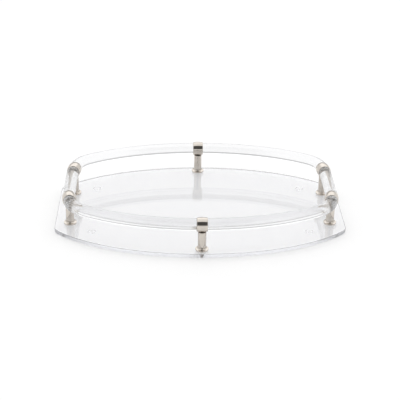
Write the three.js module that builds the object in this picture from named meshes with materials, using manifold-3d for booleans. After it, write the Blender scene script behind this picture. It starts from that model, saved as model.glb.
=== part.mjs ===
// Clear acrylic gallery tray: an oval plate with straight ends, six polished metal posts and a rod rail
// that becomes a straight handle at each end.
// Millimetres. +X is the tray's length, -Y its front, +Z up. The origin is on the surface that the tray
// stands on, under its middle.
import * as THREE from "three";
import { mergeVertices } from "three/addons/utils/BufferGeometryUtils.js";
import Module from "manifold-3d";

const wasm = await Module();
wasm.setup();

// ---------- Driving dimensions ----------

// Base plate
const trayLength = 457;           // between the straight ends
const trayWidth = 305;            // across the bowed sides, at their middle
const endWidth = 147;             // of a straight end, before its corners are rounded
const plateThickness = 6.35;
const endCornerRadius = 22;
const plateEdgeBevel = 0.6;

// Bumper feet
const bumperDiameter = 12.7;
const bumperHeight = 2.2;
const bumperTaper = 1.2;          // how much its radius shrinks towards the floor
const bumperEdge = 0.5;           // chamfer round its underside
const bumperEndInset = 58.5;      // its middle inside the straight end
const bumperSideInset = 77.5;     // its middle inside the bowed side's widest point

// Rail
const rodDiameter = 19.05;
const railHeight = 42.7;          // rod axis above the plate's top face
const railInset = 14.8;           // rod axis inside the plate's bowed edge
const handleInset = 22;           // handle axis inside the plate's straight end
const elbowRadius = 42;           // of each bend, on the rod's axis
const cornerRingTurn = 8;         // degrees from the handle's direction to a corner ring's bore

// Rail rings
const ringWall = 1.4;
const ringWidth = 16.4;
const ringEdge = 0.7;             // chamfer on the ring's outer edges
const ringLead = 0.5;             // straight rod past each end of a corner ring
const bossDrop = 0.8;             // how far the boss reaches below the ring

// Posts
const columnDiameter = 12.7;
const columnEdge = 0.3;
const footDiameter = 20.2;
const footRimHeight = 2.2;
const footFlareHeight = 2.4;
const footRimEdge = 0.35;
const footNeckStep = 0.35;        // radius of the flare's top beyond the column's

// Post screws
const screwDiameter = 4;
const screwHeadDiameter = 8;
const screwHeadRim = 0.4;         // straight edge of the head, below its cone
const screwTipChamfer = 0.5;
const screwTipShort = 0.7;        // left between the screw's tip and the rod
const hexAcrossFlats = 2.5;
const hexDepth = 1.6;

// Clearances
const rodClearance = 0.35;        // round the rod, in a ring
const screwClearance = 0.25;      // round a screw
const seatGap = 0.1;              // between two faces that rest on each other
const buttGap = 0.4;              // between two rod ends inside a ring

// Facets
const outlineSteps = 40;          // along one bowed edge
const cornerSteps = 6;
const elbowSteps = 6;
const handleBendSteps = 2;
const bowSteps = 30;
const rodFacets = 20;
const ringFacets = 24;
const columnFacets = 20;
const footFacets = 24;
const flareSteps = 3;
const screwFacets = 12;
const hexFacets = 6;
const bumperFacets = 20;

// ---------- Derived places ----------

const plateBottomZ = bumperHeight + seatGap;
const plateTopZ = plateBottomZ + plateThickness;
const railZ = plateTopZ + railHeight;
const rodRadius = rodDiameter / 2;
const handleX = trayLength / 2 - handleInset;
const ringBoreRadius = rodRadius + rodClearance;
const ringRadius = ringBoreRadius + ringWall;
const ringStraight = ringWidth + 2 * ringLead;
const bossBottom = ringRadius + bossDrop;
const footHeight = footRimHeight + footFlareHeight;
const screwHoleRadius = screwDiameter / 2 + screwClearance;
const cutOverrun = 1;             // how far a cutter runs past the faces that it cuts
const mergeTolerance = 1e-4;

// The bowed edges lie on one ellipse, whose ends the straight ends cut off.
const ovalHalfWidth = trayWidth / 2;
const ovalHalfLength = trayLength / 2 / Math.sqrt(1 - (endWidth / trayWidth) ** 2);

// ---------- Plan geometry ----------

function unitVector(angle) {
  return new THREE.Vector2(Math.cos(angle), Math.sin(angle));
}

// A point of the oval, moved inwards by inset. Angle 0 is at +X and a quarter turn is at +Y.
function ovalPoint(angle, inset) {
  const arm = unitVector(angle);
  const normal = new THREE.Vector2(arm.x / ovalHalfLength, arm.y / ovalHalfWidth).normalize();
  const onOval = new THREE.Vector2(arm.x * ovalHalfLength, arm.y * ovalHalfWidth);
  return onOval.addScaledVector(normal, -inset);
}

// The round corner that meets the oval, moved inwards by inset, and whose circle touches x = lineX.
// It runs from startAngle, which is 0 on that line, to where it meets the oval.
function ovalCorner(inset, lineX, radius, startAngle) {
  const halvings = 60;
  let low = 0;
  let high = Math.PI / 2;
  for (let i = 0; i < halvings; i += 1) {
    const middle = (low + high) / 2;
    if (ovalPoint(middle, inset + radius).x > lineX - radius) {
      low = middle;
    } else {
      high = middle;
    }
  }
  const centre = ovalPoint(low, inset + radius);
  const touch = ovalPoint(low, inset).sub(centre);
  return { centre, radius, startAngle, endAngle: Math.atan2(touch.y, touch.x), ovalAngle: low };
}

function cornerPoint(corner, share) {
  const angle = THREE.MathUtils.lerp(corner.startAngle, corner.endAngle, share);
  return unitVector(angle).multiplyScalar(corner.radius).add(corner.centre);
}

// One bowed side, from its corner at +X along the oval to its corner at -X, for the back of the tray.
function bowedSide(inset, corner, cornerCount, ovalCount) {
  const half = [];
  for (let i = 0; i <= cornerCount; i += 1) {
    half.push(cornerPoint(corner, i / cornerCount));
  }
  for (let i = 1; i <= ovalCount / 2; i += 1) {
    const angle = THREE.MathUtils.lerp(corner.ovalAngle, Math.PI / 2, i / (ovalCount / 2));
    half.push(ovalPoint(angle, inset));
  }
  return [...half, ...half.slice(0, -1).reverse().map((p) => new THREE.Vector2(-p.x, p.y))];
}

// The rail's corner at +X, +Y: the elbow, then a straight stretch through the ring, then the handle's bend.
// along is the straight stretch's direction, away from the handle.
function railCorner() {
  const turn = THREE.MathUtils.degToRad(cornerRingTurn);
  const along = unitVector(Math.PI / 2 + turn);
  const elbow = ovalCorner(railInset, handleX - ringStraight * Math.sin(turn), elbowRadius, turn);
  const ringMiddle = cornerPoint(elbow, 0).addScaledVector(along, -ringStraight / 2);
  const bendCentre = elbow.centre.clone().addScaledVector(along, -ringStraight);
  const bend = { centre: bendCentre, radius: elbowRadius, startAngle: turn, endAngle: 0 };
  return { turn, along, elbow, ringMiddle, bend };
}

// A path through listed stations, with one sweep step between neighbours.
class StationPath extends THREE.Curve {
  constructor(stations) {
    super();
    this.stations = stations;
  }

  getPoint(share, target = new THREE.Vector3()) {
    const place = share * (this.stations.length - 1);
    const index = Math.min(Math.floor(place), this.stations.length - 2);
    return target.lerpVectors(this.stations[index], this.stations[index + 1], place - index);
  }

  // Stations count evenly, so the elbows keep their short steps.
  getUtoTmapping(share) {
    return share;
  }
}

// ---------- Solids ----------

function toSolid(geometry) {
  const bare = geometry.clone();
  bare.deleteAttribute("normal");
  bare.deleteAttribute("uv");
  const merged = mergeVertices(bare, mergeTolerance);
  const vertProperties = new Float32Array(merged.attributes.position.array);
  const triVerts = new Uint32Array(merged.index.array);
  return new wasm.Manifold(new wasm.Mesh({ numProp: 3, vertProperties, triVerts }));
}

function toGeometry(solid) {
  const mesh = solid.getMesh();
  const geometry = new THREE.BufferGeometry();
  geometry.setAttribute("position", new THREE.BufferAttribute(mesh.vertProperties, 3));
  geometry.setIndex(new THREE.BufferAttribute(mesh.triVerts, 1));
  geometry.computeVertexNormals();
  return geometry;
}

// A turned solid about Z from [radius, height] pairs. The profile closes on itself.
function turned(profile, facets) {
  const points = profile.map(([radius, height]) => new THREE.Vector2(radius, height));
  return new THREE.LatheGeometry([...points, points[0].clone()], facets);
}

// LatheGeometry turns about Y. This stands it up about Z.
function lathedUpright(geometry) {
  return geometry.rotateX(Math.PI / 2);
}

// A plain cutter or boss about Z.
function roundBar(radius, fromZ, toZ, facets) {
  const bar = new THREE.CylinderGeometry(radius, radius, toZ - fromZ, facets);
  bar.rotateX(Math.PI / 2);
  bar.translate(0, 0, (fromZ + toZ) / 2);
  return bar;
}

function sweptRod(stations) {
  const section = new THREE.Shape().absarc(0, 0, rodRadius, 0, 2 * Math.PI);
  return new THREE.ExtrudeGeometry(section, {
    steps: stations.length - 1,
    curveSegments: rodFacets / 2,
    extrudePath: new StationPath(stations),
  });
}

// ---------- Materials ----------

function clearAcrylic() {
  return new THREE.MeshStandardMaterial({
    color: 0xf3f4f8, roughness: 0.03, metalness: 0, transparent: true, opacity: 0.35,
  });
}

function polishedNickel() {
  return new THREE.MeshStandardMaterial({ color: 0xcfc6ba, roughness: 0.08, metalness: 1 });
}

function screwSteel() {
  return new THREE.MeshStandardMaterial({ color: 0x8d8b88, roughness: 0.3, metalness: 1 });
}

function clearRubber() {
  return new THREE.MeshStandardMaterial({
    color: 0xeceef0, roughness: 0.35, metalness: 0, transparent: true, opacity: 0.5,
  });
}

// ---------- Sub-parts ----------

// Six posts: one in the middle of each bowed side and two under each handle. turn is the ring's, about Z.
function postPlaces() {
  const sideY = ovalHalfWidth - railInset;
  const places = [
    { name: "front_centre", x: 0, y: -sideY, turn: 0 },
    { name: "back_centre", x: 0, y: sideY, turn: 0 },
  ];
  const { turn, ringMiddle } = railCorner();
  for (const [side, signY] of [["front", -1], ["back", 1]]) {
    for (const [end, signX] of [["left", -1], ["right", 1]]) {
      places.push({
        name: `${side}_${end}`,
        x: signX * ringMiddle.x,
        y: signY * ringMiddle.y,
        turn: Math.PI / 2 + signX * signY * turn,
      });
    }
  }
  return places;
}

// The hole for one screw: a countersink in the underside, then a plain clearance hole.
function screwHoleCutter() {
  const mouthRadius = screwHeadDiameter / 2 + screwClearance;
  const coneTop = screwHeadRim + mouthRadius - screwHoleRadius;
  return new THREE.LatheGeometry([
    new THREE.Vector2(0, -cutOverrun),
    new THREE.Vector2(mouthRadius, -cutOverrun),
    new THREE.Vector2(mouthRadius, screwHeadRim),
    new THREE.Vector2(screwHoleRadius, coneTop),
    new THREE.Vector2(screwHoleRadius, plateThickness + cutOverrun),
    new THREE.Vector2(0, plateThickness + cutOverrun),
  ], screwFacets);
}

function basePlate() {
  const cornerRadius = endCornerRadius - plateEdgeBevel;
  const corner = ovalCorner(plateEdgeBevel, trayLength / 2 - plateEdgeBevel, cornerRadius, 0);
  const back = bowedSide(plateEdgeBevel, corner, cornerSteps, outlineSteps);
  const front = back.slice().reverse().map((p) => new THREE.Vector2(p.x, -p.y));
  const blank = new THREE.ExtrudeGeometry(new THREE.Shape([...back, ...front]), {
    depth: plateThickness - 2 * plateEdgeBevel,
    bevelSize: plateEdgeBevel,
    bevelThickness: plateEdgeBevel,
    bevelSegments: 1,
  });
  blank.translate(0, 0, plateEdgeBevel);
  const cutter = lathedUpright(screwHoleCutter());
  const holes = postPlaces().map((place) => toSolid(cutter.clone().translate(place.x, place.y, 0)));
  return toGeometry(holes.reduce((plate, hole) => plate.subtract(hole), toSolid(blank)));
}

function bumperFoot() {
  const topRadius = bumperDiameter / 2;
  return lathedUpright(new THREE.LatheGeometry([
    new THREE.Vector2(0, 0),
    new THREE.Vector2(topRadius - bumperTaper - bumperEdge, 0),
    new THREE.Vector2(topRadius - bumperTaper, bumperEdge),
    new THREE.Vector2(topRadius, bumperHeight),
    new THREE.Vector2(0, bumperHeight),
  ], bumperFacets));
}

// A bowed rail: from the middle of one corner ring, round its elbow, along the oval, and back.
// side is +1 at the back and -1 in front.
function bowedRail(side) {
  const { along, elbow, ringMiddle } = railCorner();
  const end = ringMiddle.clone().addScaledVector(along, buttGap / 2);
  const plan = [end, ...bowedSide(railInset, elbow, elbowSteps, bowSteps), new THREE.Vector2(-end.x, end.y)];
  return sweptRod(plan.map((p) => new THREE.Vector3(p.x, side * p.y, 0)));
}

// A straight handle that bends a little at each end to enter its rings. Its middle is at x = 0.
// side is +1 at the right and -1 at the left.
function handleRod(side) {
  const { along, ringMiddle, bend } = railCorner();
  const half = [ringMiddle.clone().addScaledVector(along, -buttGap / 2)];
  for (let i = 0; i <= handleBendSteps; i += 1) {
    half.push(cornerPoint(bend, i / handleBendSteps));
  }
  const plan = [...half, ...half.slice().reverse().map((p) => new THREE.Vector2(p.x, -p.y))];
  return sweptRod(plan.map((p) => new THREE.Vector3(side * (p.x - handleX), p.y, 0)));
}

// The flared foot, bored for the screw. Its flare is a quarter of an ellipse, hollow side out.
function postFoot() {
  const rimRadius = footDiameter / 2;
  const neckRadius = columnDiameter / 2 + footNeckStep;
  const flareStart = rimRadius - footRimEdge;
  const profile = [
    [screwHoleRadius, 0],
    [rimRadius, 0],
    [rimRadius, footRimHeight - footRimEdge],
    [flareStart, footRimHeight],
  ];
  for (let i = 1; i <= flareSteps; i += 1) {
    const angle = (Math.PI / 2) * (i / flareSteps);
    const radius = flareStart - (flareStart - neckRadius) * Math.sin(angle);
    profile.push([radius, footRimHeight + footFlareHeight * (1 - Math.cos(angle))]);
  }
  profile.push([screwHoleRadius, footHeight]);
  return lathedUpright(turned(profile, footFacets));
}

function postColumn() {
  const radius = columnDiameter / 2;
  const seats = 3;                // plate to foot, foot to column, column to boss
  const length = railHeight - bossBottom - footHeight - seats * seatGap;
  return lathedUpright(turned([
    [screwHoleRadius, 0],
    [radius - columnEdge, 0],
    [radius, columnEdge],
    [radius, length - columnEdge],
    [radius - columnEdge, length],
    [screwHoleRadius, length],
  ], columnFacets));
}

// The ring lies along X, with a round boss under it for the column and a hole for the screw's end.
function railRing() {
  const half = ringWidth / 2;
  const sleeve = turned([
    [ringBoreRadius, -half],
    [ringRadius - ringEdge, -half],
    [ringRadius, -half + ringEdge],
    [ringRadius, half - ringEdge],
    [ringRadius - ringEdge, half],
    [ringBoreRadius, half],
  ], ringFacets);
  sleeve.rotateZ(-Math.PI / 2);
  const bore = roundBar(ringBoreRadius, -half - cutOverrun, half + cutOverrun, ringFacets);
  bore.rotateY(Math.PI / 2);
  const boss = toSolid(roundBar(columnDiameter / 2, -bossBottom, -ringBoreRadius / 2, columnFacets));
  const screwHole = toSolid(roundBar(screwHoleRadius, -bossBottom - cutOverrun, 0, screwFacets));
  return toGeometry(toSolid(sleeve).add(boss.subtract(toSolid(bore))).subtract(screwHole));
}

// A countersunk screw from the plate's underside to just below the rod, with a hexagon socket.
function postScrew() {
  const headRadius = screwHeadDiameter / 2;
  const radius = screwDiameter / 2;
  const tipZ = plateThickness + railHeight - rodRadius - screwTipShort;
  const blank = lathedUpright(new THREE.LatheGeometry([
    new THREE.Vector2(0, 0),
    new THREE.Vector2(headRadius, 0),
    new THREE.Vector2(headRadius, screwHeadRim),
    new THREE.Vector2(radius, screwHeadRim + headRadius - radius),
    new THREE.Vector2(radius, tipZ - screwTipChamfer),
    new THREE.Vector2(radius - screwTipChamfer, tipZ),
    new THREE.Vector2(0, tipZ),
  ], screwFacets));
  const socket = roundBar(hexAcrossFlats / Math.sqrt(3), -cutOverrun, hexDepth, hexFacets);
  return toGeometry(toSolid(blank).subtract(toSolid(socket)));
}

// ---------- Assembly ----------

const tray = new THREE.Group();

function place(name, geometry, material, x, y, z) {
  const mesh = new THREE.Mesh(geometry, material);
  mesh.name = name;
  mesh.position.set(x, y, z);
  tray.add(mesh);
  return mesh;
}

function addPlate() {
  place("base_plate", basePlate(), clearAcrylic(), 0, 0, plateBottomZ);
  for (const [end, signX] of [["left", -1], ["right", 1]]) {
    for (const [side, signY] of [["front", -1], ["back", 1]]) {
      const x = signX * (trayLength / 2 - bumperEndInset);
      const y = signY * (trayWidth / 2 - bumperSideInset);
      place(`bumper_foot_${side}_${end}`, bumperFoot(), clearRubber(), x, y, 0);
    }
  }
}

function addRail() {
  place("front_rail", bowedRail(-1), clearAcrylic(), 0, 0, railZ);
  place("back_rail", bowedRail(1), clearAcrylic(), 0, 0, railZ);
  place("handle_left", handleRod(-1), clearAcrylic(), -handleX, 0, railZ);
  place("handle_right", handleRod(1), clearAcrylic(), handleX, 0, railZ);
}

function addPost(post) {
  const footZ = plateTopZ + seatGap;
  const columnZ = footZ + footHeight + seatGap;
  place(`post_foot_${post.name}`, postFoot(), polishedNickel(), post.x, post.y, footZ);
  place(`post_column_${post.name}`, postColumn(), polishedNickel(), post.x, post.y, columnZ);
  const ring = place(`rail_ring_${post.name}`, railRing(), polishedNickel(), post.x, post.y, railZ);
  ring.rotation.z = post.turn;
  place(`post_screw_${post.name}`, postScrew(), screwSteel(), post.x, post.y, plateBottomZ);
}

addPlate();
addRail();
postPlaces().forEach(addPost);

export default tray;
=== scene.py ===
"""Looks of a clear acrylic gallery tray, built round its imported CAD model.

Metres, in the CAD frame: +X is the tray's length, -Y its front, +Z up, and it stands on z = 0.
"""

import math

import bmesh
import bpy
from mathutils import Matrix, Vector
from mathutils.geometry import tessellate_polygon


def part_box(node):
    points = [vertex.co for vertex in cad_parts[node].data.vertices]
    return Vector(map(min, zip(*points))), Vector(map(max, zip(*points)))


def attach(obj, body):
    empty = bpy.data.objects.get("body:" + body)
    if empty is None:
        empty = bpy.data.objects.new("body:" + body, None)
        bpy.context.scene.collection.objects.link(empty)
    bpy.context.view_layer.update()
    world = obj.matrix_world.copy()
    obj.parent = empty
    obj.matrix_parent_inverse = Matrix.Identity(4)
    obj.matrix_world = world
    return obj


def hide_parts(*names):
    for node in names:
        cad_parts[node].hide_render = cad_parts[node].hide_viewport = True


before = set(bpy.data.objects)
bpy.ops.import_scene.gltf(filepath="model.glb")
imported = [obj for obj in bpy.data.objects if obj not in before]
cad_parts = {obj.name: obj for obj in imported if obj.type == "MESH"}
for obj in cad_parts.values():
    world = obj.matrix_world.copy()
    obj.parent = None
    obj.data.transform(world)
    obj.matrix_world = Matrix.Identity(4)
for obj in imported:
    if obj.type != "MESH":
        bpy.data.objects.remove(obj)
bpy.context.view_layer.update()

MM = 0.001
PLACES = ("front_centre", "back_centre", "front_left", "front_right", "back_left", "back_right")

# ---------- Sizes that the frame gives ----------

plate_low, plate_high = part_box("base_plate")
rail_low, rail_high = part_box("front_rail")
handle_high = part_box("handle_right")[1]
ring_low, ring_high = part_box("rail_ring_front_centre")
foot_low, foot_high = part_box("post_foot_front_centre")
column_low, column_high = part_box("post_column_front_centre")
screw_low, screw_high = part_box("post_screw_front_centre")
bumper_low, bumper_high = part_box("bumper_foot_front_right")

HALF_LENGTH = plate_high.x
HALF_WIDTH = plate_high.y
ROD_RADIUS = (rail_high.z - rail_low.z) / 2
RAIL_Z = (rail_high.z + rail_low.z) / 2
RAIL_INSET = rail_low.y + ROD_RADIUS - plate_low.y
HANDLE_X = handle_high.x - ROD_RADIUS
RING_WIDTH = ring_high.x - ring_low.x
RING_RADIUS = ring_high.z - RAIL_Z
COLUMN_RADIUS = (column_high.x - column_low.x) / 2
FOOT_RADIUS = (foot_high.x - foot_low.x) / 2
SCREW_HEAD_RADIUS = (screw_high.x - screw_low.x) / 2
BUMPER_RADIUS = (bumper_high.x - bumper_low.x) / 2

# ---------- Sizes of the design that a box doesn't show ----------

END_WIDTH = 147 * MM              # of a straight end, before its corners are rounded
END_CORNER_RADIUS = 22 * MM
ELBOW_RADIUS = 42 * MM
CORNER_RING_TURN = math.radians(8)  # of a corner ring, from straight along its handle
RING_LEAD = 0.5 * MM              # straight rod past each end of a corner ring
RING_WALL = 1.4 * MM
BUTT_GAP = 0.4 * MM               # between two rods that meet inside a ring
FOOT_RIM_HEIGHT = 2.2 * MM
SCREW_HOLE_RADIUS = 2.25 * MM
SCREW_RADIUS = 2 * MM
SCREW_HEAD_RIM = 0.4 * MM         # straight stretch between the head's face and its cone
SCREW_HEAD_CLEARANCE = 0.25 * MM
BUMPER_TAPER = 1.2 * MM

OVAL_HALF_LENGTH = HALF_LENGTH / math.sqrt(1 - (END_WIDTH / 2 / HALF_WIDTH) ** 2)

# ---------- Sizes of the fine detail ----------

PLATE_EDGE_ROUND = 0.6 * MM
ROD_END_ROUND = 0.5 * MM
FOOT_EDGE_ROUND = 0.3 * MM
FOOT_NECK_STEP = 0.35 * MM        # from the column out to the bead round its foot
FOOT_BEAD = 0.45 * MM
FOOT_WAIST_STEP = 0.27 * MM       # from the bead's widest in to the top of the flare
COLUMN_EDGE_ROUND = 0.3 * MM
RING_CROWN = 0.7 * MM             # how much lower the ring's outside is at its ends
RING_EDGE_ROUND = 0.5 * MM
RING_END_SLOPE = 8                # degrees, where the crown runs into the rounded edge
BOSS_EDGE = 0.2 * MM
BOSS_STRAIGHT = 0.5 * MM          # from the boss's foot to its flare
BOSS_FLARE = 0.3 * MM
BOSS_OVERLAP = 0.1 * MM           # of the boss into the ring, where the two are one piece
SCREW_HEAD_EDGE = 0.1 * MM
SCREW_PLAIN_LENGTH = 0.5 * MM     # between the head's cone and the thread
SCREW_PITCH = 0.7 * MM
SCREW_THREAD_DEPTH = 0.35 * MM
SCREW_TIP = 0.5 * MM
SOCKET_CORNER_RADIUS = 1.44 * MM
SOCKET_DEPTH = 1.6 * MM
BUMPER_EDGE_ROUND = 0.5 * MM
BUMPER_TOP_EDGE = 0.15 * MM
CUT_PAST = 1 * MM                 # how far a cutting body runs past the face that it cuts

EDGE_STEPS = 4                    # facets across a rounded edge
BEND_STEPS = 6
ELBOW_STEPS = 28
OVAL_STEPS = 60
SHARP_ANGLE = 35                  # degrees, the least that shades as a sharp edge


# ---------- Plan geometry ----------

def unit(angle):
    return Vector((math.cos(angle), math.sin(angle)))


def oval_point(angle, inset):
    """A point of the oval, moved inwards by inset. Angle 0 is at +X and a quarter turn is at +Y."""
    arm = unit(angle)
    normal = Vector((arm.x / OVAL_HALF_LENGTH, arm.y / HALF_WIDTH)).normalized()
    return Vector((arm.x * OVAL_HALF_LENGTH, arm.y * HALF_WIDTH)) - normal * inset


def oval_stretch(start, inset):
    """Points of the oval from just after the angle start to its middle at +Y."""
    sweep = math.pi / 2 - start
    return [oval_point(start + sweep * i / OVAL_STEPS, inset) for i in range(1, OVAL_STEPS + 1)]


def oval_corner(inset, line_x, radius):
    """The round corner that meets the inset oval and whose circle touches x = line_x.

    Gives its centre, the oval's angle where they meet, and the corner's own angle there."""
    halvings = 60
    low, high = 0.0, math.pi / 2
    for _ in range(halvings):
        middle = (low + high) / 2
        if oval_point(middle, inset + radius).x > line_x - radius:
            low = middle
        else:
            high = middle
    centre = oval_point(low, inset + radius)
    touch = oval_point(low, inset) - centre
    return centre, low, math.atan2(touch.y, touch.x)


def arc_points(centre, radius, start, end, steps):
    return [centre + unit(start + (end - start) * i / steps) * radius for i in range(steps + 1)]


def mirror_x(points):
    return [Vector((-p.x, p.y)) for p in reversed(points)]


def mirror_y(points):
    return [Vector((p.x, -p.y)) for p in reversed(points)]


def plate_outline(inset):
    """The plate's outline, anticlockwise from +X, moved inwards by inset."""
    radius = END_CORNER_RADIUS - inset
    centre, oval_angle, end = oval_corner(inset, HALF_LENGTH - inset, radius)
    quarter = arc_points(centre, radius, 0.0, end, steps=16) + oval_stretch(oval_angle, inset)
    back = quarter + mirror_x(quarter)[1:]
    return back + mirror_y(back)


def rail_corner():
    """The rail's path in the corner at +X, +Y, as two stretches that start inside the ring.

    The bow's stretch ends in the oval's middle at +Y, and the handle's where the handle is
    straight."""
    turn = CORNER_RING_TURN
    straight = RING_WIDTH + 2 * RING_LEAD
    along = unit(math.pi / 2 + turn)
    line_x = HANDLE_X - straight * math.sin(turn)
    centre, oval_angle, end = oval_corner(RAIL_INSET, line_x, ELBOW_RADIUS)
    ring_middle = centre + unit(turn) * ELBOW_RADIUS - along * straight / 2
    bow = [ring_middle + along * BUTT_GAP / 2]
    bow += arc_points(centre, ELBOW_RADIUS, turn, end, ELBOW_STEPS)
    bow += oval_stretch(oval_angle, RAIL_INSET)
    handle = [ring_middle - along * BUTT_GAP / 2]
    handle += arc_points(centre - along * straight, ELBOW_RADIUS, turn, 0.0, BEND_STEPS)
    return bow, handle


def node_middle(node):
    """The middle of a CAD node, seen from above."""
    low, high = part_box(node)
    return Vector(((low.x + high.x) / 2, (low.y + high.y) / 2))


# ---------- Mesh building ----------

def piece_from(bm, name, sharp_angle=SHARP_ANGLE):
    """Turns a bmesh into an object. It shades smooth, except over edges sharper than sharp_angle
    degrees and on faces that the bmesh has as flat."""
    bmesh.ops.recalc_face_normals(bm, faces=bm.faces)
    mesh = bpy.data.meshes.new(name)
    bm.to_mesh(mesh)
    bm.free()
    flat = [polygon.index for polygon in mesh.polygons if not polygon.use_smooth]
    mesh.shade_smooth()
    mesh.set_sharp_from_angle(angle=math.radians(sharp_angle))
    for index in flat:
        mesh.polygons[index].use_smooth = False
    piece = bpy.data.objects.new(name, mesh)
    bpy.context.scene.collection.objects.link(piece)
    return piece


def join_loops(bm, first, second):
    """Faces between two closed loops of vertices. A loop of one vertex is a point on the axis."""
    if len(first) == 1 and len(second) == 1:
        return
    count = max(len(first), len(second))
    for i in range(count):
        j = (i + 1) % count
        near = [first[i % len(first)], first[j % len(first)]]
        far = [second[j % len(second)], second[i % len(second)]]
        face = bm.faces.new(list(dict.fromkeys(near + far)))
        face.smooth = True


def join_in_turn(bm, loops):
    for first, second in zip(loops, loops[1:]):
        join_loops(bm, first, second)


def turned_loops(bm, profile, facets):
    """Loops of vertices about Z, one for each (radius, height). At radius 0 it is one vertex."""
    loops = []
    for radius, height in profile:
        count = 1 if radius == 0 else facets
        loop = []
        for i in range(count):
            angle = 2 * math.pi * i / count
            loop.append(bm.verts.new((radius * math.cos(angle), radius * math.sin(angle), height)))
        loops.append(loop)
    return loops


def turned(profile, facets, bored=False):
    """A turned body about Z. A bored one's profile runs on from its last point to its first."""
    bm = bmesh.new()
    loops = turned_loops(bm, profile, facets)
    join_in_turn(bm, loops)
    if bored:
        join_loops(bm, loops[-1], loops[0])
    return bm


def round_bar(name, radius, low, high, facets):
    """A plain round body about Z, for cutting others."""
    return piece_from(turned([(0, low), (radius, low), (radius, high), (0, high)], facets), name)


def rounding(radius_centre, height_centre, size, start, end, steps=EDGE_STEPS):
    """Profile points of a rounded edge, for angles in degrees in the profile's plane."""
    points = []
    for i in range(steps + 1):
        angle = math.radians(start + (end - start) * i / steps)
        radius = radius_centre + size * math.cos(angle)
        points.append((radius, height_centre + size * math.sin(angle)))
    return points


def moved_copy(piece, name, matrix):
    """A copy of a piece whose place is in its mesh."""
    mesh = piece.data.copy()
    mesh.name = name
    mesh.transform(matrix)
    copy = bpy.data.objects.new(name, mesh)
    bpy.context.scene.collection.objects.link(copy)
    return copy


def combine(piece, others):
    """Applies booleans to a piece: others is a list of (operation, object), which are then deleted."""
    for operation, other in others:
        modifier = piece.modifiers.new("combine", "BOOLEAN")
        modifier.operation = operation
        modifier.solver = "EXACT"
        modifier.object = other
    depsgraph = bpy.context.evaluated_depsgraph_get()
    mesh = bpy.data.meshes.new_from_object(piece.evaluated_get(depsgraph))
    piece.modifiers.clear()
    old = piece.data
    piece.data = mesh
    bpy.data.meshes.remove(old)
    for _, other in others:
        bpy.data.objects.remove(other)
    piece.data.set_sharp_from_angle(angle=math.radians(SHARP_ANGLE))


# ---------- Nodes ----------

def new_material(name):
    """A material with a Principled shader, its node tree and the shader."""
    material = bpy.data.materials.new(name)
    material.use_nodes = True
    tree = material.node_tree
    return material, tree, tree.nodes["Principled BSDF"]


def object_place(tree):
    """Object coordinates. A piece's object stands at the origin, so they are the frame's metres."""
    return tree.nodes.new("ShaderNodeTexCoord").outputs["Object"]


def components(tree, vector):
    """The sockets X, Y and Z of a vector."""
    split = tree.nodes.new("ShaderNodeSeparateXYZ")
    tree.links.new(vector, split.inputs["Vector"])
    return split.outputs


def noise(tree, scale, detail, stretch=(1, 1, 1)):
    """A noise texture with about scale features to a metre. stretch makes it finer along an axis."""
    mapping = tree.nodes.new("ShaderNodeMapping")
    mapping.inputs["Scale"].default_value = stretch
    tree.links.new(object_place(tree), mapping.inputs["Vector"])
    texture = tree.nodes.new("ShaderNodeTexNoise")
    texture.inputs["Scale"].default_value = scale
    texture.inputs["Detail"].default_value = detail
    tree.links.new(mapping.outputs["Vector"], texture.inputs["Vector"])
    return texture.outputs["Fac"]


def ranged(tree, value, low, high, from_low=0.35, from_high=0.65):
    """Maps a value to low at from_low and to high at from_high. Left alone, these suit a noise."""
    spread = tree.nodes.new("ShaderNodeMapRange")
    spread.inputs["From Min"].default_value = from_low
    spread.inputs["From Max"].default_value = from_high
    spread.inputs["To Min"].default_value = low
    spread.inputs["To Max"].default_value = high
    tree.links.new(value, spread.inputs["Value"])
    return spread.outputs["Result"]


def arithmetic(tree, operation, first, second=None):
    """A Math node. Its inputs are sockets or numbers."""
    node = tree.nodes.new("ShaderNodeMath")
    node.operation = operation
    for index, value in enumerate((first, second)):
        if isinstance(value, bpy.types.NodeSocket):
            tree.links.new(value, node.inputs[index])
        elif value is not None:
            node.inputs[index].default_value = value
    return node.outputs["Value"]


def bump(tree, shader, height, strength, distance):
    """Gives a shader bumps from a height. distance is in metres."""
    node = tree.nodes.new("ShaderNodeBump")
    node.inputs["Strength"].default_value = strength
    node.inputs["Distance"].default_value = distance
    tree.links.new(height, node.inputs["Height"])
    tree.links.new(node.outputs["Normal"], shader.inputs["Normal"])


# ---------- Materials ----------

ACRYLIC_IOR = 1.49
RUBBER_IOR = 1.48
SHEET_TINT = (0.956, 0.956, 0.966, 1)
SHEET_DEPTH_TINT = (0.30, 0.32, 0.38, 1)
SHEET_DENSITY = 1.1
SAWN_ROUGHNESS = 0.28
ROD_TINT = (0.964, 0.966, 0.972, 1)
BEND_ROUGHNESS = 0.12
BEND_START_X = 140 * MM           # from here out the rods turn milky
BEND_END_X = 205 * MM             # and by here they are so in full
NICKEL_DARK = (0.592, 0.545, 0.493, 1)
NICKEL_LIGHT = (0.647, 0.601, 0.548, 1)
STEEL_COLOUR = (0.42, 0.40, 0.38, 1)


def clear_acrylic(name, tint, haze, waviness):
    """Polished acrylic with a faint waviness: the material, its tree and shader, and the roughness
    of its uneven polish, from low to high haze. The caller links the roughness."""
    material, tree, shader = new_material(name)
    shader.inputs["Base Color"].default_value = tint
    shader.inputs["IOR"].default_value = ACRYLIC_IOR
    shader.inputs["Transmission Weight"].default_value = 1.0
    bump(tree, shader, noise(tree, scale=14, detail=1), strength=waviness, distance=1 * MM)
    polish = ranged(tree, noise(tree, scale=60, detail=3), low=haze[0], high=haze[1])
    return material, tree, shader, polish


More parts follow.
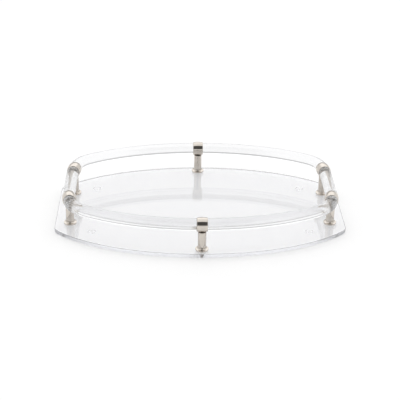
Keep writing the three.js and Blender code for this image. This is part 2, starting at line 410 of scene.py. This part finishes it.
def sheet_acrylic():
    """The plate's sheet: its upright faces are sawn, and it darkens and cools with depth."""
    material, tree, shader, polish = clear_acrylic(
        "plate_acrylic", SHEET_TINT, haze=(0.0, 0.02), waviness=0.008
    )
    normal = tree.nodes.new("ShaderNodeNewGeometry").outputs["Normal"]
    level = arithmetic(tree, "ABSOLUTE", components(tree, normal)["Z"])
    sawn = ranged(tree, level, low=SAWN_ROUGHNESS, high=0.0, from_low=0.35, from_high=0.95)
    tree.links.new(arithmetic(tree, "ADD", polish, sawn), shader.inputs["Roughness"])
    depth = tree.nodes.new("ShaderNodeVolumeAbsorption")
    depth.inputs["Color"].default_value = SHEET_DEPTH_TINT
    depth.inputs["Density"].default_value = SHEET_DENSITY
    tree.links.new(depth.outputs["Volume"], tree.nodes["Material Output"].inputs["Volume"])
    return material


def rod_acrylic():
    """The rods' bar, a little milky towards the tray's ends, where heat has bent it."""
    material, tree, shader, polish = clear_acrylic(
        "rod_acrylic", ROD_TINT, haze=(0.05, 0.10), waviness=0.05
    )
    outward = arithmetic(tree, "ABSOLUTE", components(tree, object_place(tree))["X"])
    milky = ranged(tree, outward, 0.0, BEND_ROUGHNESS, BEND_START_X, BEND_END_X)
    tree.links.new(arithmetic(tree, "ADD", polish, milky), shader.inputs["Roughness"])
    return material


def polished_nickel():
    """Nickel plate: warm grey, with uneven haze and fine buffing lines round the posts."""
    material, tree, shader = new_material("polished_nickel")
    shader.inputs["Metallic"].default_value = 1.0
    tone = tree.nodes.new("ShaderNodeMix")
    tone.data_type = "RGBA"
    tone.inputs["A"].default_value = NICKEL_DARK
    tone.inputs["B"].default_value = NICKEL_LIGHT
    cloud = noise(tree, scale=120, detail=2)
    tree.links.new(ranged(tree, cloud, low=0, high=1), tone.inputs["Factor"])
    tree.links.new(tone.outputs["Result"], shader.inputs["Base Color"])
    haze = noise(tree, scale=260, detail=4)
    tree.links.new(ranged(tree, haze, low=0.045, high=0.13), shader.inputs["Roughness"])
    lines = noise(tree, scale=90, detail=3, stretch=(1, 1, 40))
    bump(tree, shader, lines, strength=0.05, distance=0.2 * MM)
    return material


def screw_steel():
    """Plain steel with a grainy, half dull surface."""
    material, tree, shader = new_material("screw_steel")
    shader.inputs["Metallic"].default_value = 1.0
    shader.inputs["Base Color"].default_value = STEEL_COLOUR
    grain = noise(tree, scale=700, detail=4)
    tree.links.new(ranged(tree, grain, low=0.22, high=0.42), shader.inputs["Roughness"])
    bump(tree, shader, grain, strength=0.1, distance=0.1 * MM)
    return material


def clear_rubber():
    """Clear soft rubber with a finely grained skin."""
    material, tree, shader = new_material("clear_rubber")
    shader.inputs["Base Color"].default_value = (1, 1, 1, 1)
    shader.inputs["IOR"].default_value = RUBBER_IOR
    shader.inputs["Transmission Weight"].default_value = 1.0
    grain = noise(tree, scale=1400, detail=3)
    tree.links.new(ranged(tree, grain, low=0.12, high=0.20), shader.inputs["Roughness"])
    bump(tree, shader, grain, strength=0.15, distance=0.1 * MM)
    return material


PLATE_ACRYLIC = sheet_acrylic()
ROD_ACRYLIC = rod_acrylic()
NICKEL = polished_nickel()
STEEL = screw_steel()
RUBBER = clear_rubber()


def finish_piece(piece, material, node):
    """Gives a piece its material, hangs it on the root body and hides the CAD part that it stands in
    for.
    """
    piece.data.materials.clear()
    piece.data.materials.append(material)
    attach(piece, "root")
    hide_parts(node)


# ---------- Plate ----------

def plate_levels():
    """(inset, height) of the plate's side from the bottom up, with both its edges rounded."""
    levels = []
    for i in range(EDGE_STEPS + 1):
        angle = math.pi / 2 * i / EDGE_STEPS
        inset = PLATE_EDGE_ROUND * (1 - math.sin(angle))
        levels.append((inset, plate_low.z + PLATE_EDGE_ROUND * (1 - math.cos(angle))))
    upper = [(inset, plate_high.z - (z - plate_low.z)) for inset, z in reversed(levels)]
    return levels + upper


def screw_hole(bm, middle):
    """Loops of a countersunk hole through the plate, from the bottom up."""
    bottom, top = plate_low.z, plate_high.z
    mouth = SCREW_HEAD_RADIUS + SCREW_HEAD_CLEARANCE
    cone_low = bottom + SCREW_HEAD_RIM
    cone_top = cone_low + mouth - SCREW_HOLE_RADIUS
    profile = [(mouth, bottom), (mouth, cone_low)]
    profile += [(SCREW_HOLE_RADIUS, cone_top), (SCREW_HOLE_RADIUS, top)]
    loops = turned_loops(bm, profile, facets=40)
    for loop in loops:
        for vertex in loop:
            vertex.co += Vector((middle.x, middle.y, 0))
    join_in_turn(bm, loops)
    return loops


def cap(bm, outlines):
    """Flat faces that fill the first outline and leave the others as holes."""
    corners = [vertex for outline in outlines for vertex in outline]
    places = [[vertex.co for vertex in outline] for outline in outlines]
    for triangle in tessellate_polygon(places):
        bm.faces.new([corners[i] for i in triangle]).smooth = False


def plate():
    """The plate with rounded, polished edges, and a countersunk hole under each post."""
    bm = bmesh.new()
    side = []
    for inset, z in plate_levels():
        side.append([bm.verts.new((p.x, p.y, z)) for p in plate_outline(inset)])
    join_in_turn(bm, side)
    holes = [screw_hole(bm, node_middle(f"post_column_{place}")) for place in PLACES]
    for end in (0, -1):
        cap(bm, [side[end], *[hole[end] for hole in holes]])
    return piece_from(bm, "tray_plate", sharp_angle=50)


finish_piece(plate(), PLATE_ACRYLIC, "base_plate")


# ---------- Rods ----------

def rod_end(point, way, inwards):
    """(middle, way, radius) of sections that round off a rod's end, from its full radius out.

    inwards is 1 where way leads into the rod and -1 where it leads out."""
    steps = 3
    sections = []
    for i in range(steps + 1):
        angle = math.pi / 2 * i / steps
        depth = ROD_END_ROUND * (1 - math.sin(angle))
        radius = ROD_RADIUS - ROD_END_ROUND * (1 - math.cos(angle))
        sections.append((point + inwards * way * depth, way, radius))
    return sections


def rod_sections(path):
    """(middle, way, radius) of each section of a rod along plan points at the rail's height."""
    points = [Vector((p.x, p.y, RAIL_Z)) for p in path]
    last = len(points) - 1
    ways = [(points[min(i + 1, last)] - points[max(i - 1, 0)]).normalized() for i in range(last + 1)]
    start = list(reversed(rod_end(points[0], ways[0], 1)))
    between = [(points[i], ways[i], ROD_RADIUS) for i in range(1, last)]
    return start + between + rod_end(points[-1], ways[-1], -1)


def swept_rod(path, name):
    """A round rod along a path, with softly rounded ends."""
    facets = 56
    bm = bmesh.new()
    loops = []
    for middle, way, radius in rod_sections(path):
        side = way.cross(Vector((0, 0, 1)))
        loop = []
        for i in range(facets):
            angle = 2 * math.pi * i / facets
            rise = Vector((0, 0, radius * math.sin(angle)))
            loop.append(bm.verts.new(middle + side * radius * math.cos(angle) + rise))
        loops.append(loop)
    join_in_turn(bm, loops)
    bm.faces.new(loops[0]).smooth = False
    bm.faces.new(loops[-1]).smooth = False
    return piece_from(bm, name)


def place_rods():
    bow, handle = rail_corner()
    back = bow + mirror_x(bow)[1:]
    right = handle + mirror_y(handle)
    rows = (
        (back, "back_bow_rod", "back_rail"),
        (mirror_y(back), "front_bow_rod", "front_rail"),
        (right, "right_handle_rod", "handle_right"),
        (mirror_x(right), "left_handle_rod", "handle_left"),
    )
    for path, name, node in rows:
        finish_piece(swept_rod(path, name), ROD_ACRYLIC, node)


place_rods()


# ---------- Posts ----------

def foot_shape():
    """The flared foot: a straight rim with softened edges, then a hollow flare up to a small bead."""
    steps = 12
    height = foot_high.z - foot_low.z
    neck = COLUMN_RADIUS + FOOT_NECK_STEP
    start = FOOT_RADIUS - FOOT_EDGE_ROUND
    waist = neck - FOOT_WAIST_STEP
    flare_top = height - 2 * FOOT_BEAD
    rise = flare_top - FOOT_RIM_HEIGHT
    profile = [(SCREW_HOLE_RADIUS, 0)]
    profile += rounding(start, FOOT_EDGE_ROUND, FOOT_EDGE_ROUND, -90, 0)
    profile += rounding(start, FOOT_RIM_HEIGHT - FOOT_EDGE_ROUND, FOOT_EDGE_ROUND, 0, 90)
    for i in range(1, steps + 1):
        angle = math.pi / 2 * i / steps
        radius = start - (start - waist) * math.sin(angle)
        profile.append((radius, FOOT_RIM_HEIGHT + rise * (1 - math.cos(angle))))
    profile += rounding(neck - FOOT_BEAD, flare_top + FOOT_BEAD, FOOT_BEAD, -80, 90, steps=6)
    profile.append((SCREW_HOLE_RADIUS, height))
    return turned(profile, facets=96, bored=True)


def column_shape():
    """The tube, with softened edges and its bore."""
    edge = COLUMN_EDGE_ROUND
    length = column_high.z - column_low.z
    profile = [(SCREW_HOLE_RADIUS, 0)]
    profile += rounding(COLUMN_RADIUS - edge, edge, edge, -90, 0)
    profile += rounding(COLUMN_RADIUS - edge, length - edge, edge, 0, 90)
    profile.append((SCREW_HOLE_RADIUS, length))
    return turned(profile, facets=80, bored=True)


def sleeve_profile():
    """The ring's outside, crowned and with softened edges, filled in to the axis."""
    steps = 12
    half = RING_WIDTH / 2
    inner = half - RING_EDGE_ROUND
    rim = RING_RADIUS - RING_CROWN - RING_EDGE_ROUND
    profile = [(0, -half)]
    profile += rounding(rim, -inner, RING_EDGE_ROUND, -90, -RING_END_SLOPE)
    for i in range(steps + 1):
        across = -inner + 2 * inner * i / steps
        profile.append((RING_RADIUS - RING_CROWN * (across / inner) ** 2, across))
    profile += rounding(rim, inner, RING_EDGE_ROUND, RING_END_SLOPE, 90)
    profile.append((0, half))
    return profile


def boss_profile(bottom):
    """The boss under a ring, from its foot on the column up to its flare into the ring."""
    steps = 6
    flare_start = bottom + BOSS_STRAIGHT
    profile = [(0, bottom), (COLUMN_RADIUS - BOSS_EDGE, bottom), (COLUMN_RADIUS, bottom + BOSS_EDGE)]
    for i in range(steps + 1):
        angle = math.pi / 2 * i / steps
        radius = COLUMN_RADIUS + BOSS_FLARE * (1 - math.cos(angle))
        profile.append((radius, flare_start + BOSS_FLARE * math.sin(angle)))
    profile.append((0, flare_start + BOSS_FLARE + BOSS_OVERLAP))
    return profile


def ring_shape():
    """The ring about X, crowned outside and bored, with the drilled boss that it stands on."""
    facets = 112
    lying = Matrix.Rotation(math.pi / 2, 4, "Y")
    half = RING_WIDTH / 2
    bottom = ring_low.z - RAIL_Z
    ring = piece_from(turned(sleeve_profile(), facets), "ring")
    ring.data.transform(lying)
    boss = piece_from(turned(boss_profile(bottom), facets=80), "boss")
    bore = round_bar("bore", RING_RADIUS - RING_WALL, -half - CUT_PAST, half + CUT_PAST, facets)
    bore.data.transform(lying)
    drill = round_bar("drill", SCREW_HOLE_RADIUS, bottom - CUT_PAST, 0, facets=32)
    combine(ring, [("UNION", boss), ("DIFFERENCE", bore), ("DIFFERENCE", drill)])
    return ring


def thread_loop(bm, z, facets, fade):
    """A loop of the thread at height z. fade is 0 where there is no thread yet and 1 in full."""
    loop = []
    for i in range(facets):
        turn = (z / SCREW_PITCH - i / facets) % 1.0
        ridge = abs(2 * turn - 1)
        radius = SCREW_RADIUS - SCREW_THREAD_DEPTH * fade * (1 - ridge)
        angle = 2 * math.pi * i / facets
        loop.append(bm.verts.new((radius * math.cos(angle), radius * math.sin(angle), z)))
    return loop


def screw_shape():
    """A countersunk screw with a rolled thread, standing on its head, with a hexagon socket below."""
    facets = 24
    rows_per_turn = 5
    length = screw_high.z - screw_low.z
    head = SCREW_HEAD_RADIUS
    cone_top = SCREW_HEAD_RIM + head - SCREW_RADIUS
    profile = [(0, 0), (head - SCREW_HEAD_EDGE, 0), (head, SCREW_HEAD_EDGE)]
    profile += [(head, SCREW_HEAD_RIM), (SCREW_RADIUS, cone_top)]
    bm = bmesh.new()
    loops = turned_loops(bm, profile, facets)
    thread = length - SCREW_TIP - cone_top - SCREW_PLAIN_LENGTH
    rows = int(thread / SCREW_PITCH * rows_per_turn)
    for row in range(rows + 1):
        z = cone_top + SCREW_PLAIN_LENGTH + thread * row / rows
        loops.append(thread_loop(bm, z, facets, fade=min(1.0, row / rows_per_turn)))
    loops += turned_loops(bm, [(SCREW_RADIUS - SCREW_TIP, length), (0, length)], facets)
    join_in_turn(bm, loops)
    screw = piece_from(bm, "screw")
    socket = round_bar("socket", SOCKET_CORNER_RADIUS, -CUT_PAST, SOCKET_DEPTH, facets=6)
    combine(screw, [("DIFFERENCE", socket)])
    return screw


def place_posts():
    """A foot, column, ring and screw at each place. The corner rings lie along the handles."""
    foot = piece_from(foot_shape(), "foot")
    column = piece_from(column_shape(), "column")
    ring = ring_shape()
    screw = screw_shape()
    for place in PLACES:
        middle = node_middle(f"post_column_{place}")
        turn = 0.0
        if "centre" not in place:
            turn = math.pi / 2 + math.copysign(1, middle.x * middle.y) * CORNER_RING_TURN
        rows = (
            (foot, "post_foot", foot_low.z, 0.0, NICKEL, "polished_nickel"),
            (column, "post_column", column_low.z, 0.0, NICKEL, "polished_nickel"),
            (ring, "rail_ring", RAIL_Z, turn, NICKEL, "polished_nickel"),
            (screw, "post_screw", screw_low.z, 0.0, STEEL, "screw_steel"),
        )
        for shape, kind, height, angle, material, slot in rows:
            stand = Matrix.Translation((middle.x, middle.y, height))
            piece = moved_copy(shape, f"fine_{kind}_{place}", stand @ Matrix.Rotation(angle, 4, "Z"))
            finish_piece(piece, material, f"{kind}_{place}")
    for shape in (foot, column, ring, screw):
        bpy.data.objects.remove(shape)


place_posts()


# ---------- Bumper feet ----------

def bumper_shape():
    """A soft pad that widens upwards, flat where it meets the floor and the plate."""
    height = bumper_high.z - bumper_low.z
    edge = BUMPER_EDGE_ROUND
    profile = [(0, 0)]
    profile += rounding(BUMPER_RADIUS - BUMPER_TAPER - edge, edge, edge, -90, -20, steps=5)
    profile.append((BUMPER_RADIUS, height - BUMPER_TOP_EDGE))
    profile.append((BUMPER_RADIUS - BUMPER_TOP_EDGE, height))
    profile.append((0, height))
    return turned(profile, facets=64)


def place_bumpers():
    bumper = piece_from(bumper_shape(), "bumper", sharp_angle=40)
    for side in ("front", "back"):
        for end in ("left", "right"):
            middle = node_middle(f"bumper_foot_{side}_{end}")
            stand = Matrix.Translation((middle.x, middle.y, 0))
            piece = moved_copy(bumper, f"fine_bumper_{side}_{end}", stand)
            finish_piece(piece, RUBBER, f"bumper_foot_{side}_{end}")
    bpy.data.objects.remove(bumper)


place_bumpers()


# ---------- Floor, light and camera ----------

FLOOR_HALF_SIZE = 6.0
FLOOR_Z = -0.1 * MM               # just under the bumpers, so that no two faces share a plane
FLOOR_LEVEL = 0.50
FLOOR_GLOW = 0.565                # brightness of its own, on top of what it reflects
WORLD_STRENGTH = 2.0
SIDE_LEVEL = 1.0
SIDE_START = 0.30                 # sine of the angle off to one side where the room turns plain
SIDE_END = 0.55
CAMERA_LENS = 100.0               # mm
CAMERA_SENSOR = 36.0              # mm wide
CAMERA_PITCH = math.radians(27.0)
CAMERA_YAW = math.radians(1.84)
CAMERA_ROLL = math.radians(0.87)
CAMERA_DISTANCE = 1.804
CAMERA_AIM = Vector((0.0007, 0.0081, 0.0182))
LIGHT_BOUNCES = 48

# Brightness of the room, by the angle in degrees from the front horizon over the top to the back.
ROOM_LEVELS = (
    (0, 0.9),
    (8, 0.9),                     # a pale strip in front
    (13, 0.10),
    (66, 0.09),                   # the dark opening where the photographer stands
    (76, 1.15),
    (120, 1.2),                   # the ceiling
    (132, 1.5),
    (157, 1.5),                   # a bright wall behind
    (164, 0.62),
    (180, 0.62),                  # its dimmer foot
)


def grey(level):
    return (level, level, level, 1)


def studio_floor():
    """Pale paper that glows, so that it shows plain white and its shadows stay soft."""
    bm = bmesh.new()
    bmesh.ops.create_grid(bm, x_segments=1, y_segments=1, size=FLOOR_HALF_SIZE)
    bmesh.ops.translate(bm, verts=bm.verts, vec=(0, 0, FLOOR_Z))
    floor = piece_from(bm, "studio_floor")
    material, _, shader = new_material("pale_paper")
    shader.inputs["Base Color"].default_value = grey(FLOOR_LEVEL)
    shader.inputs["Roughness"].default_value = 0.9
    shader.inputs["Specular IOR Level"].default_value = 0.0
    shader.inputs["Emission Color"].default_value = grey(1)
    shader.inputs["Emission Strength"].default_value = FLOOR_GLOW
    floor.data.materials.append(material)


def studio_light():
    """A white room that is banded from front to back and turns plain to either side."""
    world = bpy.data.worlds.new("studio")
    bpy.context.scene.world = world
    world.use_nodes = True
    tree = world.node_tree
    place = tree.nodes.new("ShaderNodeTexCoord")
    way = components(tree, place.outputs["Generated"])
    front = arithmetic(tree, "MULTIPLY", way["Y"], -1.0)
    angle = arithmetic(tree, "ARCTAN2", way["Z"], front)
    ramp = tree.nodes.new("ShaderNodeValToRGB")
    tree.links.new(arithmetic(tree, "DIVIDE", angle, math.pi), ramp.inputs["Fac"])
    elements = ramp.color_ramp.elements
    for index, (degrees, level) in enumerate(ROOM_LEVELS):
        element = elements[index] if index < 2 else elements.new(degrees / 180)
        element.position = degrees / 180
        element.color = grey(level / WORLD_STRENGTH)
    aside = arithmetic(tree, "ABSOLUTE", way["X"])
    sideways = tree.nodes.new("ShaderNodeMapRange")
    sideways.interpolation_type = "SMOOTHSTEP"
    sideways.inputs["From Min"].default_value = SIDE_START
    sideways.inputs["From Max"].default_value = SIDE_END
    tree.links.new(aside, sideways.inputs["Value"])
    blend = tree.nodes.new("ShaderNodeMix")
    blend.data_type = "RGBA"
    tree.links.new(sideways.outputs["Result"], blend.inputs["Factor"])
    tree.links.new(ramp.outputs["Color"], blend.inputs["A"])
    blend.inputs["B"].default_value = grey(SIDE_LEVEL / WORLD_STRENGTH)
    background = tree.nodes["Background"]
    background.inputs["Strength"].default_value = WORLD_STRENGTH
    tree.links.new(blend.outputs["Result"], background.inputs["Color"])


def studio_camera():
    """The camera in front of the tray, looking down at CAMERA_AIM."""
    data = bpy.data.cameras.new("camera")
    data.lens = CAMERA_LENS
    data.sensor_width = CAMERA_SENSOR
    camera = bpy.data.objects.new("camera", data)
    bpy.context.scene.collection.objects.link(camera)
    turn = Matrix.Rotation(-CAMERA_YAW, 4, "Z") @ Matrix.Rotation(math.pi / 2 - CAMERA_PITCH, 4, "X")
    turn = turn @ Matrix.Rotation(CAMERA_ROLL, 4, "Z")
    back_off = Matrix.Translation((0, 0, CAMERA_DISTANCE))
    camera.matrix_world = Matrix.Translation(CAMERA_AIM) @ turn @ back_off
    bpy.context.scene.camera = camera


def show_plainly():
    """Shows brightness as it is, and lets light pass through several clear pieces."""
    scene = bpy.context.scene
    scene.view_settings.view_transform = "Standard"
    scene.cycles.max_bounces = LIGHT_BOUNCES
    scene.cycles.transmission_bounces = LIGHT_BOUNCES
    scene.cycles.glossy_bounces = LIGHT_BOUNCES


studio_floor()
studio_light()
studio_camera()
show_plainly()
